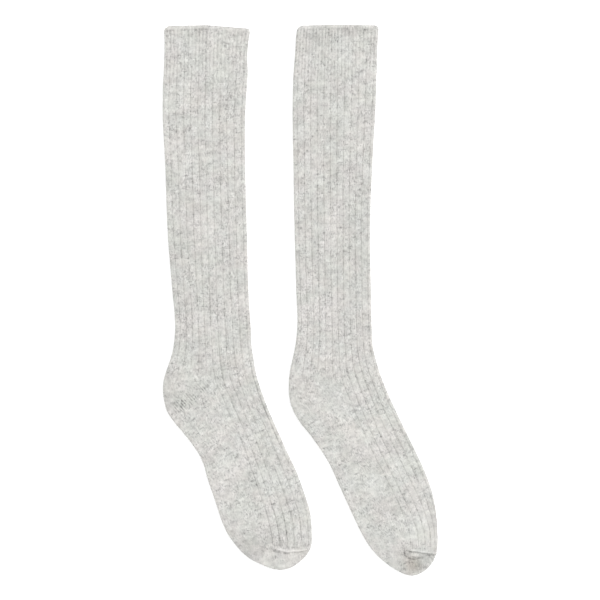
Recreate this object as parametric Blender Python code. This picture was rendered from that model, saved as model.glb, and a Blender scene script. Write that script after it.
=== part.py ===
"""Pair of ribbed cashmere knee socks, laid flat side by side with both toes turned the same way.

Each sock is one knitted tube: a rounded welt, a cuff in fine 1x1 rib, a leg in 3x1 rib, a plain
heel pouch turned at a mitre line, a foot with a plain sole and a ribbed instep, and a plain toe
pouch joined to the instep by a raised seam. The tube is pressed flat. It is one wall between an
outer and an inner skin, both lofted through the sections of a table, closed at the toe and open
at the cuff. The underside is flat and plain where it rests.

Sizes are millimetres, turned into metres by MM. The socks lie on Z = 0, cuffs towards +Y.
"""

import math
from collections import namedtuple

import bmesh
import bpy
from mathutils import Vector

MM = 0.001

WALL = 1.4              # cloth in the plain parts, and in the furrow between two ribs
EDGE_WALL = 2.0         # cloth at the folded edges, where the knit doubles round
RIB_RISE = 0.55         # how far a rib's crown stands above its furrows
FINE_RISE = 0.5         # the same in the cuff's 1x1 rib
MITRE_DEPTH = 0.35      # dip of the heel's mitre line below the plain cloth
SEAM_RISE = 0.8         # height of the toe seam above the plain cloth
LINE_WIDTH = 1.5        # half the width of the mitre line and of the toe seam
WIDEST_LINE = 0.45      # the most that this half width may take of the span to the next row
LINE_END = 0.6          # how far each end of those lines takes to fade, in ribs

QUARTERS = 4            # columns of points to a rib: furrow, shoulder, crown, shoulder
LAST_COLUMN = 0.12      # least distance of a column from the middle of the folded edge, in ribs
LEG_SHOULDER = 0.16     # where a wide rib's shoulder lies, in ribs from its furrow
FINE_SHOULDER = 0.25    # the same where each wide rib is split into two fine ones
SHOULDER_HEIGHT = 0.82  # height of a wide rib's shoulder over that of its crown

FOLD_ANGLES = (30.0, 60.0)                  # points round the lower half of a folded edge
UNDER_SHARES = (0.12, 0.45, 0.8)            # points across the underside, edge to middle
INNER_SHARES = (0.04, 0.3, 0.7)             # points across the inner skin, edge to middle
WIDEST_FOLD = 0.45                          # a folded edge's radius, over half the tube's width
NOSE_HEIGHT = 0.62                          # the last section's height, over a full one's
SHARP_ANGLE = 40.0                          # edges that turn more than this are shaded sharp
FINE_SHARP_ANGLE = 20.0                     # the same down the cuff's fine ribs
INNER_END_ROW = "toe_low"                   # the inner skin's last section

# One row for each section across the flat tube, from the welt to the toe. back is the folded
# edge down the calf, heel and sole, front the edge down the shin and instep, and mid the furrow
# between the two halves, which becomes the edge of the ribbed instep. gap is the hollow between
# the layers. back_rib and front_rib are 1 where that half is ribbed from this row to the next,
# fine is 1 where its rib is the cuff's, lift swells the upper skin, and steps is the number of
# sections to the next row.
Row = namedtuple(
    "Row",
    "name back_x back_y mid_x mid_y front_x front_y gap back_rib front_rib fine lift steps",
)

LEFT_ROWS = (
    Row("welt_top", -139.3, 285.0, -97.2, 285.8, -53.8, 281.4, 1.2, 0, 0, 1, -0.35, 1),
    Row("welt_crown", -140.9, 283.3, -97.2, 284.6, -52.6, 279.8, 1.1, 0, 0, 1, 0.45, 1),
    Row("welt_foot", -141.4, 279.4, -97.2, 280.9, -52.3, 276.2, 0.9, 0, 0, 1, 0.30, 1),
    Row("cuff_top", -141.3, 276.6, -97.3, 278.2, -52.6, 273.9, 0.8, 1, 1, 1, 0.0, 1),
    Row("cuff_mid", -141.3, 257.9, -97.7, 258.0, -55.1, 256.5, 0.8, 1, 1, 1, 0.0, 1),
    Row("cuff_end", -142.1, 234.0, -98.1, 234.0, -54.9, 233.5, 0.8, 1, 1, 1, 0.0, 1),
    Row("leg_top", -142.3, 231.0, -98.2, 231.0, -55.1, 230.6, 0.8, 1, 1, 0, 0.0, 1),
    Row("calf", -143.0, 203.8, -99.0, 203.8, -56.9, 203.8, 0.8, 1, 1, 0, 0.0, 2),
    Row("calf_low", -140.1, 135.2, -97.7, 135.2, -57.3, 135.2, 0.7, 1, 1, 0, 0.0, 2),
    Row("shin", -137.3, 62.4, -96.0, 62.4, -55.4, 62.4, 0.7, 1, 1, 0, 0.0, 1),
    Row("shin_low", -133.0, 10.4, -94.3, 10.4, -54.1, 10.4, 0.8, 1, 1, 0, 0.0, 1),
    Row("ankle", -130.1, -31.2, -92.5, -32.2, -51.6, -30.2, 1.1, 1, 1, 0, 0.0, 1),
    Row("low_leg", -132.0, -49.9, -91.1, -56.2, -50.6, -48.9, 1.6, 1, 1, 0, 0.0, 1),
    Row("rib_end", -136.0, -64.4, -89.7, -72.6, -48.5, -62.6, 2.1, 1, 1, 0, 0.0, 1),
    Row("heel_top", -137.9, -69.6, -89.2, -75.6, -48.0, -66.0, 2.3, 0, 1, 0, 0.0, 1),
    Row("heel_back", -141.8, -83.2, -88.5, -79.7, -47.4, -69.7, 2.7, 0, 1, 0, 0.0, 2),
    Row("heel_round", -142.1, -99.8, -87.7, -83.2, -46.8, -73.3, 2.9, 0, 1, 0, 0.0, 2),
    Row("mitre", -137.8, -116.1, -86.8, -86.3, -46.0, -77.0, 3.0, 0, 1, 0, 0.0, 1),
    Row("heel_under", -130.7, -126.7, -85.0, -90.7, -44.3, -82.7, 2.8, 0, 1, 0, 0.0, 2),
    Row("heel_end", -122.7, -136.2, -81.0, -99.4, -41.7, -91.0, 2.3, 0, 1, 0, 0.0, 1),
    Row("arch", -114.3, -146.8, -73.1, -119.0, -35.9, -107.1, 1.6, 0, 1, 0, 0.0, 2),
    Row("arch_low", -102.4, -165.4, -60.8, -145.6, -25.3, -132.1, 1.2, 0, 1, 0, 0.0, 2),
    Row("foot", -95.4, -188.2, -51.7, -171.6, -13.8, -157.6, 1.0, 0, 1, 0, 0.0, 1),
    Row("foot_low", -87.7, -210.6, -43.6, -195.5, -3.4, -179.9, 1.0, 0, 1, 0, 0.0, 1),
    Row("ball", -82.1, -227.8, -37.3, -214.2, 4.5, -201.8, 1.1, 0, 1, 0, 0.0, 1),
    Row("ball_low", -75.0, -243.4, -32.1, -231.4, 10.1, -221.0, 1.3, 0, 1, 0, 0.0, 1),
    Row("toe", -66.9, -254.6, -29.4, -244.9, 11.8, -239.2, 1.5, 0, 1, 0, 0.0, 1),
    Row("seam", -58.6, -263.7, -28.0, -257.3, 10.5, -257.9, 1.6, 0, 0, 0, 0.0, 2),
    Row("toe_cap", -49.6, -270.2, -26.5, -265.6, 5.9, -265.8, 1.5, 0, 0, 0, 0.0, 2),
    Row("toe_low", -40.2, -274.8, -24.9, -272.3, -1.4, -272.7, 1.2, 0, 0, 0, 0.0, 1),
    Row("toe_round", -32.1, -278.1, -22.8, -277.1, -9.3, -277.7, 0.9, 0, 0, 0, 0.0, 1),
    Row("nose", -26.1, -279.7, -20.7, -279.6, -14.5, -279.6, 0.6, 0, 0, 0, 0.0, 1),
)

RIGHT_ROWS = (
    Row("welt_top", 0.4, 285.4, 39.0, 286.4, 80.2, 285.6, 1.2, 0, 0, 1, -0.35, 1),
    Row("welt_crown", -1.8, 283.9, 39.2, 285.6, 81.1, 284.2, 1.1, 0, 0, 1, 0.45, 1),
    Row("welt_foot", -3.2, 280.2, 39.4, 281.9, 81.3, 280.4, 0.9, 0, 0, 1, 0.30, 1),
    Row("cuff_top", -3.7, 277.5, 39.4, 279.3, 81.1, 277.8, 0.8, 1, 1, 1, 0.0, 1),
    Row("cuff_mid", -5.0, 257.9, 39.3, 258.2, 80.0, 257.9, 0.8, 1, 1, 1, 0.0, 1),
    Row("cuff_end", -6.9, 234.0, 39.0, 234.0, 79.4, 234.0, 0.8, 1, 1, 1, 0.0, 1),
    Row("leg_top", -7.0, 231.0, 39.0, 231.0, 79.3, 231.0, 0.8, 1, 1, 0, 0.0, 1),
    Row("calf", -7.6, 203.8, 38.6, 203.8, 78.4, 203.8, 0.8, 1, 1, 0, 0.0, 2),
    Row("calf_low", -6.8, 140.4, 38.2, 140.4, 74.9, 140.4, 0.7, 1, 1, 0, 0.0, 2),
    Row("shin", -5.5, 67.6, 38.4, 67.6, 72.5, 67.6, 0.7, 1, 1, 0, 0.0, 1),
    Row("shin_low", -3.8, 10.4, 39.0, 10.4, 73.5, 10.4, 0.8, 1, 1, 0, 0.0, 1),
    Row("ankle", -2.9, -29.1, 39.8, -30.2, 74.2, -27.0, 1.1, 1, 1, 0, 0.0, 1),
    Row("low_leg", -5.7, -52.0, 40.7, -54.1, 75.5, -48.9, 1.6, 1, 1, 0, 0.0, 1),
    Row("rib_end", -8.9, -65.6, 41.7, -71.4, 78.3, -61.0, 2.1, 1, 1, 0, 0.0, 1),
    Row("heel_top", -10.1, -71.0, 42.3, -75.0, 79.2, -64.4, 2.3, 0, 1, 0, 0.0, 1),
    Row("heel_back", -11.4, -84.2, 43.6, -80.7, 80.6, -69.2, 2.7, 0, 1, 0, 0.0, 2),
    Row("heel_round", -11.0, -100.9, 45.0, -85.9, 81.8, -73.3, 2.9, 0, 1, 0, 0.0, 2),
    Row("mitre", -6.8, -115.4, 46.7, -90.5, 83.5, -78.0, 3.0, 0, 1, 0, 0.0, 1),
    Row("heel_under", -0.3, -126.3, 49.2, -96.9, 85.9, -84.2, 2.8, 0, 1, 0, 0.0, 2),
    Row("heel_end", 7.0, -135.4, 53.4, -106.7, 89.5, -93.2, 2.3, 0, 1, 0, 0.0, 1),
    Row("arch", 17.2, -149.1, 62.9, -129.0, 98.1, -112.3, 1.6, 0, 1, 0, 0.0, 2),
    Row("arch_low", 31.3, -171.4, 73.3, -152.9, 110.0, -137.1, 1.2, 0, 1, 0, 0.0, 2),
    Row("foot", 41.7, -194.5, 83.9, -173.7, 119.7, -156.8, 1.0, 0, 1, 0, 0.0, 1),
    Row("foot_low", 49.6, -211.7, 93.3, -192.0, 128.0, -174.7, 1.0, 0, 1, 0, 0.0, 1),
    Row("ball", 57.5, -228.8, 102.0, -210.1, 135.9, -195.5, 1.1, 0, 1, 0, 0.0, 1),
    Row("ball_low", 64.8, -243.6, 109.5, -228.8, 140.9, -218.4, 1.3, 0, 1, 0, 0.0, 1),
    Row("toe", 71.7, -254.8, 114.1, -244.8, 142.6, -239.2, 1.5, 0, 1, 0, 0.0, 1),
    Row("seam", 80.0, -264.8, 114.9, -259.4, 141.3, -263.5, 1.6, 0, 0, 0, 0.0, 2),
    Row("toe_cap", 88.7, -272.7, 114.9, -267.7, 138.5, -271.0, 0.8, 0, 0, 0, 0.0, 2),
    Row("toe_low", 98.1, -279.3, 115.1, -275.4, 132.8, -278.5, 0.9, 0, 0, 0, 0.0, 1),
    Row("toe_round", 106.2, -283.7, 115.5, -281.8, 124.9, -283.9, 0.9, 0, 0, 0, 0.0, 1),
    Row("nose", 111.2, -285.6, 116.0, -285.2, 121.4, -285.6, 0.6, 0, 0, 0, 0.0, 1),
)

# tip is the end of the toe, and back_ribs and front_ribs count the ribs on each half of the
# upper side, from mid round to the middle of the folded edge.
Sock = namedtuple("Sock", "name rows tip_x tip_y back_ribs front_ribs")

SOCKS = (
    Sock("sock_left", LEFT_ROWS, -20.3, -280.5, 6.0, 6.0),
    Sock("sock_right", RIGHT_ROWS, 116.4, -286.5, 6.8, 5.65),
)

Section = namedtuple(
    "Section", "row back mid front gap back_rib front_rib fine lift groove seam height_share"
)
RingPoint = namedtuple("RingPoint", "place turn")

CASHMERE_COLOR = (0.66, 0.655, 0.63, 1.0)
CASHMERE_ROUGHNESS = 0.95


def clear_scene():
    for item in list(bpy.data.objects):
        bpy.data.objects.remove(item, do_unlink=True)


def cashmere_material():
    material = bpy.data.materials.new("cashmere_knit")
    material.use_nodes = True
    shader = material.node_tree.nodes["Principled BSDF"]
    shader.inputs["Base Color"].default_value = CASHMERE_COLOR
    shader.inputs["Roughness"].default_value = CASHMERE_ROUGHNESS
    shader.inputs["Metallic"].default_value = 0.0
    shader.inputs["Sheen Weight"].default_value = 0.3
    return material


def mix(first, second, share):
    return first + (second - first) * share


def directions(track):
    """Direction of travel at each point of a track, weighted towards its shorter span."""
    result = []
    for index, here in enumerate(track):
        before = here - track[index - 1] if index > 0 else None
        after = track[index + 1] - here if index + 1 < len(track) else None
        if before is None:
            result.append(after.normalized())
        elif after is None:
            result.append(before.normalized())
        else:
            total = before.length + after.length
            turned = before.normalized() * after.length + after.normalized() * before.length
            result.append(turned / total)
    return result


def along(track, headings, position):
    """Point on the smooth curve through a track, at a position counted in rows."""
    index = min(int(position), len(track) - 2)
    share = position - index
    start = track[index]
    end = track[index + 1]
    span = (end - start).length
    square = share * share
    cube = square * share
    return (
        start * (2 * cube - 3 * square + 1)
        + headings[index] * span * (cube - 2 * square + share)
        + end * (3 * square - 2 * cube)
        + headings[index + 1] * span * (cube - square)
    )


def section_positions(rows):
    """Positions of the sections, counted in rows, with a close pair beside each marked line."""
    positions = []
    for index, row in enumerate(rows[:-1]):
        positions += [index + step / row.steps for step in range(row.steps)]
        if row.name in ("mitre", "seam"):
            for neighbour, side in ((rows[index - 1], -1), (rows[index + 1], 1)):
                length = math.hypot(row.mid_x - neighbour.mid_x, row.mid_y - neighbour.mid_y)
                positions.append(index + side * min(WIDEST_LINE, LINE_WIDTH / length))
    positions.append(len(rows) - 1)
    return sorted(positions)


def loft_sections(rows):
    """The sections of one sock, read from the smooth curves through its rows."""
    back_track = [Vector((row.back_x, row.back_y, 0.0)) for row in rows]
    mid_track = [Vector((row.mid_x, row.mid_y, 0.0)) for row in rows]
    front_track = [Vector((row.front_x, row.front_y, 0.0)) for row in rows]
    back_headings = directions(back_track)
    mid_headings = directions(mid_track)
    front_headings = directions(front_track)
    sections = []
    for position in section_positions(rows):
        index = int(position)
        share = position - index
        upper = rows[index]
        lower = rows[min(index + 1, len(rows) - 1)]
        name = upper.name if share == 0.0 else ""
        sections.append(Section(
            row=name,
            back=along(back_track, back_headings, position),
            mid=along(mid_track, mid_headings, position),
            front=along(front_track, front_headings, position),
            gap=mix(upper.gap, lower.gap, share),
            back_rib=upper.back_rib,
            front_rib=upper.front_rib,
            fine=upper.fine,
            lift=mix(upper.lift, lower.lift, share),
            groove=MITRE_DEPTH if name == "mitre" else 0.0,
            seam=SEAM_RISE if name == "seam" else 0.0,
            height_share=NOSE_HEIGHT if name == "nose" else 1.0,
        ))
    return sections


def rib_columns(ribs, fine):
    """Distance from mid, in ribs, and height of each column of points on one half."""
    shoulder = FINE_SHOULDER if fine else LEG_SHOULDER
    offsets = (0.0, shoulder, 0.5, 1.0 - shoulder)
    if fine:
        heights = (0.0, FINE_RISE, 0.0, FINE_RISE)
    else:
        heights = (0.0, SHOULDER_HEIGHT * RIB_RISE, RIB_RISE, SHOULDER_HEIGHT * RIB_RISE)
    count = int((ribs - LAST_COLUMN) * QUARTERS)
    return [(index // QUARTERS + offsets[index % QUARTERS], heights[index % QUARTERS])
            for index in range(1, count + 1)]


def half_top(edge, mid, ribs, rib_share, section, line_rise):
    """Upper outer points of one half, from beside mid out to the middle of the folded edge.

    line_rise is the height of a line that lies along this half: the seam, or the mitre if it is
    below zero.
    """
    inward = mid - edge
    span = inward.length
    inward.normalize()
    height = 2 * WALL + section.gap
    radius = min(height / 2, span * WIDEST_FOLD)
    quarter_turn = radius * math.pi / 2
    arc_length = span - radius + quarter_turn
    middle_height = height / 2
    tall = middle_height * section.height_share
    points = []
    for offset, rise in rib_columns(ribs, section.fine):
        travelled = arc_length * (1 - offset / ribs)
        fade = min(1.0, offset / LINE_END, (ribs - offset) / LINE_END)
        raised = rise * rib_share + section.lift + line_rise * fade
        if travelled < quarter_turn:
            angle = travelled / radius
            place = edge + inward * (radius * (1 - math.cos(angle)) - raised * math.cos(angle))
            place.z = middle_height + (tall + raised) * math.sin(angle)
        else:
            place = edge + inward * (radius + travelled - quarter_turn)
            place.z = middle_height + tall + raised
        points.append(place)
    rim = edge.copy()
    rim.z = middle_height
    points.append(rim)
    return points


def outer_ring(section, sock):
    """Closed ring of the outer skin: back edge, over the top, front edge, back underneath."""
    height = 2 * WALL + section.gap
    middle_height = height / 2
    tall = middle_height * section.height_share
    back = half_top(section.back, section.mid, sock.back_ribs, section.back_rib,
                    section, -section.groove)
    front = half_top(section.front, section.mid, sock.front_ribs, section.front_rib,
                     section, section.seam)
    middle = section.mid.copy()
    middle.z = middle_height + tall + section.lift
    places = list(reversed(back)) + [middle] + front
    top_count = len(places)
    for edge, order in ((section.front, 1), (section.back, -1)):
        inward = section.mid - edge
        radius = min(height / 2, inward.length * WIDEST_FOLD)
        flat = inward.length - radius
        inward.normalize()
        side = []
        for degrees in FOLD_ANGLES:
            angle = math.radians(degrees)
            place = edge + inward * radius * (1 - math.cos(angle))
            place.z = middle_height - tall * math.sin(angle)
            side.append(place)
        for share in (0.0,) + UNDER_SHARES:
            place = edge + inward * (radius + flat * share)
            place.z = middle_height - tall
            side.append(place)
        if order == 1:
            under_middle = section.mid.copy()
            under_middle.z = middle_height - tall
            places += side + [under_middle]
        else:
            places += list(reversed(side))
    return with_turns(places, top_count, section)


def inner_ring(section):
    """Closed ring of the inner skin, a plain flat slit inside the outer skin."""
    middle_height = WALL + section.gap / 2
    ends = []
    lines = []
    for edge in (section.back, section.front):
        end = edge + (section.mid - edge).normalized() * EDGE_WALL
        lines.append([end + (section.mid - end) * share for share in INNER_SHARES])
        end.z = middle_height
        ends.append(end)
    across = lines[0] + [section.mid] + list(reversed(lines[1]))
    top = [Vector((place.x, place.y, middle_height + section.gap / 2)) for place in across]
    under = [Vector((place.x, place.y, middle_height - section.gap / 2)) for place in across]
    places = [ends[0]] + top + [ends[1]] + list(reversed(under))
    return with_turns(places, len(top) + 2, section)


def with_turns(places, top_count, section):
    """Ring points with how far round they lie: 0 to 1 over the top, 1 to 2 underneath."""
    across = section.front - section.back
    points = []
    for index, place in enumerate(places):
        share = (place - section.back).dot(across) / across.length_squared
        turn = share if index < top_count else 2 - share
        points.append(RingPoint(place, turn))
    return points


def add_ring(mesh, ring):
    return [mesh.verts.new(point.place * MM) for point in ring]


def join_rings(mesh, first, second):
    """Quads between two rings that have the same number of points."""
    count = len(first)
    for index in range(count):
        after = (index + 1) % count
        mesh.faces.new((first[index], first[after], second[after], second[index]))


def join_uneven(mesh, first, first_ring, second, second_ring):
    """Triangles between two rings that have different numbers of points."""
    first_turns = [point.turn for point in first_ring] + [2.0]
    second_turns = [point.turn for point in second_ring] + [2.0]
    one = 0
    two = 0
    while one < len(first) or two < len(second):
        step_first = two == len(second)
        if one < len(first) and two < len(second):
            step_first = first_turns[one + 1] <= second_turns[two + 1]
        here_first = first[one % len(first)]
        here_second = second[two % len(second)]
        if step_first:
            one += 1
            mesh.faces.new((here_first, first[one % len(first)], here_second))
        else:
            two += 1
            mesh.faces.new((here_first, second[two % len(second)], here_second))


def close_ring(mesh, verts, tip):
    """Fan from a ring to one point."""
    for index, vert in enumerate(verts):
        mesh.faces.new((vert, verts[(index + 1) % len(verts)], tip))


def shade(mesh, fine_rings):
    """Shade the skin smooth, but for sharp turns and the small ridges of the cuff's rib."""
    for face in mesh.faces:
        face.smooth = True
    for edge in mesh.edges:
        edge.smooth = edge.calc_face_angle(0.0) < math.radians(SHARP_ANGLE)
    for first, second in zip(fine_rings, fine_rings[1:]):
        for upper, lower in zip(first, second):
            edge = mesh.edges.get((upper, lower))
            edge.smooth = edge.calc_face_angle(0.0) < math.radians(FINE_SHARP_ANGLE)


def build_sock(sock, material):
    sections = loft_sections(sock.rows)
    mesh = bmesh.new()

    outer_rings = [outer_ring(section, sock) for section in sections]
    outer = [add_ring(mesh, ring) for ring in outer_rings]
    for first, second in zip(outer, outer[1:]):
        join_rings(mesh, first, second)
    tip_height = WALL + sections[-1].gap / 2
    outer_tip = mesh.verts.new(Vector((sock.tip_x, sock.tip_y, tip_height)) * MM)
    close_ring(mesh, outer[-1], outer_tip)

    names = [section.row for section in sections]
    last_inner = names.index(INNER_END_ROW)
    inner_rings = [inner_ring(section) for section in sections[:last_inner + 1]]
    inner = [add_ring(mesh, ring) for ring in inner_rings]
    for first, second in zip(inner, inner[1:]):
        join_rings(mesh, first, second)
    beyond = sections[last_inner + 1]
    inner_tip = beyond.mid.copy()
    inner_tip.z = WALL + beyond.gap / 2
    close_ring(mesh, inner[-1], mesh.verts.new(inner_tip * MM))

    join_uneven(mesh, outer[0], outer_rings[0], inner[0], inner_rings[0])
    bmesh.ops.recalc_face_normals(mesh, faces=mesh.faces)
    shade(mesh, [ring for ring, section in zip(outer, sections) if section.fine])

    data = bpy.data.meshes.new(sock.name)
    mesh.to_mesh(data)
    mesh.free()
    data.materials.append(material)
    thing = bpy.data.objects.new(sock.name, data)
    bpy.context.scene.collection.objects.link(thing)
    return thing


def centre_on_origin(things):
    """Place the pair so that the middle of its footprint is the origin."""
    corners = [vertex.co for thing in things for vertex in thing.data.vertices]
    middle_x = (min(c.x for c in corners) + max(c.x for c in corners)) / 2
    middle_y = (min(c.y for c in corners) + max(c.y for c in corners)) / 2
    for thing in things:
        thing.location = (-middle_x, -middle_y, 0.0)


def main():
    clear_scene()
    material = cashmere_material()
    socks = [build_sock(sock, material) for sock in SOCKS]
    centre_on_origin(socks)


main()
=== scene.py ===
"""Looks of a pair of ribbed cashmere knee socks, laid flat and seen from straight above.

Each sock is one knitted shell: a rolled welt, a cuff in fine 1x1 rib, a leg in 3x1 rib, a plain
heel pouch with a line of fashioning marks, a plain sole, a ribbed instep, and a toe pouch closed
by a linked seam. Loose fibres stand out of the nap. Sizes are millimetres on the pair's own axes,
cuffs towards +Y, turned into metres by MM. Those in the materials, lights and floor are metres.
"""

import math
from collections import namedtuple

import bpy
import numpy as np
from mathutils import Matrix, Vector


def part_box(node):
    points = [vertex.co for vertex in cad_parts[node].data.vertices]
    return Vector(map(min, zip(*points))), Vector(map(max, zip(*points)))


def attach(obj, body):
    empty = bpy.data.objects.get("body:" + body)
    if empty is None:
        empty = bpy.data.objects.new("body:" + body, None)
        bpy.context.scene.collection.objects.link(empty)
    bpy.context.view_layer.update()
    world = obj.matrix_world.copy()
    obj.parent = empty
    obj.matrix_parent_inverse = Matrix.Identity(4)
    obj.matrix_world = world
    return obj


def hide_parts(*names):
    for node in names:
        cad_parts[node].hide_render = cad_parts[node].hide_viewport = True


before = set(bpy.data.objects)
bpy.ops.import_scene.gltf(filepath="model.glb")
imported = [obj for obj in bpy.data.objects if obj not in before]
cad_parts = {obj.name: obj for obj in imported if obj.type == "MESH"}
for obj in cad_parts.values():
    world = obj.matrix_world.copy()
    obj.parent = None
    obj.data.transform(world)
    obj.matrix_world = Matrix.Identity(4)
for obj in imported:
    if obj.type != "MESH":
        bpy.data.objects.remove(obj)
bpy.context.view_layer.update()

MM = 0.001

PHOTO_WIDTH = 624.0  # what the picture's 600 pixels span at the socks
PHOTO_CENTRE_Y = 0.52  # where the picture's middle lies, up the socks
CAMERA_LENS = 100.0
CAMERA_SENSOR = 36.0
SOCK_TOP = 4.0  # height at which the picture's width is counted

WALL = 1.4  # cloth in the plain parts, and in the furrow between two ribs
EDGE_WALL = 2.0  # cloth at the folded edges, where the knit doubles round
FRONT_PROUD = 0.35  # how far the nap makes the front edge stand out
RIB_RISE = 0.55  # how far a rib's crown stands above its furrows
RIB_SIDE = 0.88  # height of a rib beside a furrow, over its crown's
FINE_RISE = 0.5  # rise of the ribs in the cuff's 1x1 rib
PLAIN_RISE = 0.2  # the plain knit's surface above a furrow's floor
WIDEST_FOLD = 0.45  # a folded edge's radius, over half the tube's width
TOE_CLOSING = 0.62  # how far into the toe's rounding the last row of points lies
FURROW_WIDTH = 0.065  # half the width of a furrow, in ribs
FURROW_DEPTH = 0.62  # how deep an average furrow cuts below the crowns
LEG_FURROWS = 0.92  # depth of the leg's furrows, and of their painted shade, over the average
FOOT_FURROWS = 0.95  # the same in the foot
FINE_WIDTH = 0.1  # half the width of a furrow of the 1x1 rib, in ribs
FURROW_SHADE = 1.25  # painted shade in a furrow of average depth
SHADE_WIDTH = 0.062  # half the width of the painted shade in a furrow, in ribs
ACCENT_END = 4.0  # half the length over which an accent fades at each end
TUBE_RIBS = 24  # ribs all round, half of them on the instep
WALES_PER_RIB = 4
COURSE = 1.35  # height of a row of stitches

SEAM_RISE = 0.9  # height of the toe seam above the plain knit
SEAM_WIDTH = 0.85  # half its width
SEAM_LIGHT_WIDTH = 1.25  # half the width of the highlight painted along it
SEAM_DIP = 0.5  # the dip below it
SEAM_END = 0.6  # how far its end takes to fade, in ribs

MARK_CENTRE = 0.5  # how far below the mitre the fashioning marks lie
MARK_WIDTH = 7.5  # half the width of their band
MARK_PITCH = 0.0026  # from one to the next, in metres
MARK_SLOPE = math.radians(50)  # how steeply they run down, away from the heel's back

# How the knit wavers: strength, changes in a rib, length along the sock, and number of the seed.
WAVERS = {
    "rib end": ((0.3, 3.7, 1.0, 0),),
    "furrow": ((0.25, 7.3, 14.0, 1), (0.32, 5.1, 4.0, 2)),
    "fine furrow": ((0.4, 6.1, 9.0, 3), (0.35, 9.7, 3.0, 4)),
    "surface": ((0.05, 4.0, 2.2, 3),),
    "swell": ((0.18, 0.7, 24.0, 4),),
    "rib": ((0.04, 0.9, 16.0, 6), (0.02, 0.9, 3.0, 7)),
    "seam": ((0.5, 1.3, 1.0, 7),),
    "seam dip": ((0.6, 2.0, 1.0, 8),),
    "marks": ((0.9, 1.4, 5.0, 9),),
    "welt notches": ((1.3, 1.9, 1.0, 12),),
}

ROW_SPACING = 1.45  # between the shell's rows of points
CLOSE_SPACING = 0.7  # the same at the welt and the toe seam
CLOSE_ROWS = ("welt_top", "welt_crown", "welt_foot", "toe", "seam", "toe_round")
INNER_ROW_STEP = 14  # the inner skin keeps one row in this many
INNER_END_ROW = "toe_low"
LIP_ANGLES = (35.0, 90.0, 145.0)
TIP_SHARES = (0.3, 0.6, 0.85)

# Places of the columns of points across a rib, in ribs from its furrow, in wide rib and
# elsewhere. The upper side, 1, has more columns than the underside, -1.
COLUMNS = {
    1: ((0.0, 0.035, 0.075, 0.14, 0.3, 0.5, 0.7, 0.86, 0.925, 0.965),
        (0.0, 0.1, 0.2, 0.3, 0.4, 0.5, 0.6, 0.7, 0.8, 0.9)),
    -1: ((0.0, 0.07, 0.25, 0.75, 0.93), (0.0, 0.2, 0.4, 0.6, 0.8)),
}

FUZZ_COUNT = 18000  # fibres that stand out of the nap of a sock
FUZZ_LENGTHS = (0.5, 1.9)
FUZZ_RISES = (0.1, 0.8)  # how steeply they stand, over their length
FUZZ_WIDTH = 0.05  # half their thickness at the root
FUZZ_ROOT = 0.1  # how far the root lies in the knit
FUZZ_EDGES = 14.0  # how much denser they grow along the folded edges
FUZZ_LOWEST = -0.2  # none grow where the cloth faces further down than this
FUZZ_FLOOR = 0.02  # none reach lower than this
FUZZ_DARK = (0.40, 0.40, 0.385, 1.0)
FUZZ_LIGHT = (0.76, 0.76, 0.73, 1.0)

STITCH_MAP = "stitches"  # the map that counts wales and courses
BAKE_MAP = "OFBake"  # the map with the cloth laid out without overlaps
# per point: painted shade of furrows, dips, creases and patches, below zero where a highlight is painted
SHADE_MAP = "shade"
MARK_MAP = "marks"  # the map of the fashioning marks
MAP_STEP = 0.004  # how far a closing ring goes on, on the baking map
STITCH_SLANT = 0.55  # how far a strand climbs from a wale's middle to its side, in courses
STITCH_HEIGHT = 0.00022  # in metres, for the bump
NAP_HEIGHT = 0.0001
STITCH_GAP_SHADE = 0.12  # how much lighter a strand is than the gap beside it, the gap being painted in shade
MELANGE_TONE = 0.33  # how much the melange lightens or darkens the knit
WISP_TONE = 0.14  # how much darker the knit is in a wisp
WISP_WIDTH = 0.04  # how far the noise strays from its middle across half a wisp
BRIGHT_GRAIN = 0.03  # grain brighter than this is softened
SOFTENING = 0.55  # share of what is brighter that is taken off
SHADE_TONE = 0.16  # how much darker the knit is painted where it is in shade: a furrow, dip or crease
CREASE_SHADE = 1.5  # painted shade of a crease for each millimetre of its depth
RIDGE_LIGHT = 0.6  # painted highlight: how much lighter a ridge is, for each millimetre of its height
MARK_TONE = 0.30  # how much darker it is in a fashioning mark
COOL_COLOR = (0.6695, 0.6745, 0.641, 1.0)
WARM_COLOR = (0.6865, 0.6675, 0.641, 1.0)
# Around this place, within this reach, the right toe turns browner: partly the warm colour of the painted shade
# on its crumpled cap, partly darker wool.
BROWN_TOE_PLACE = (0.1170, -0.2745, 0.0035)
BROWN_TOE_SIZE = 0.015
BROWN_TONE = 0.045  # how much browner the knit is in the middle of that brown place
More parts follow.
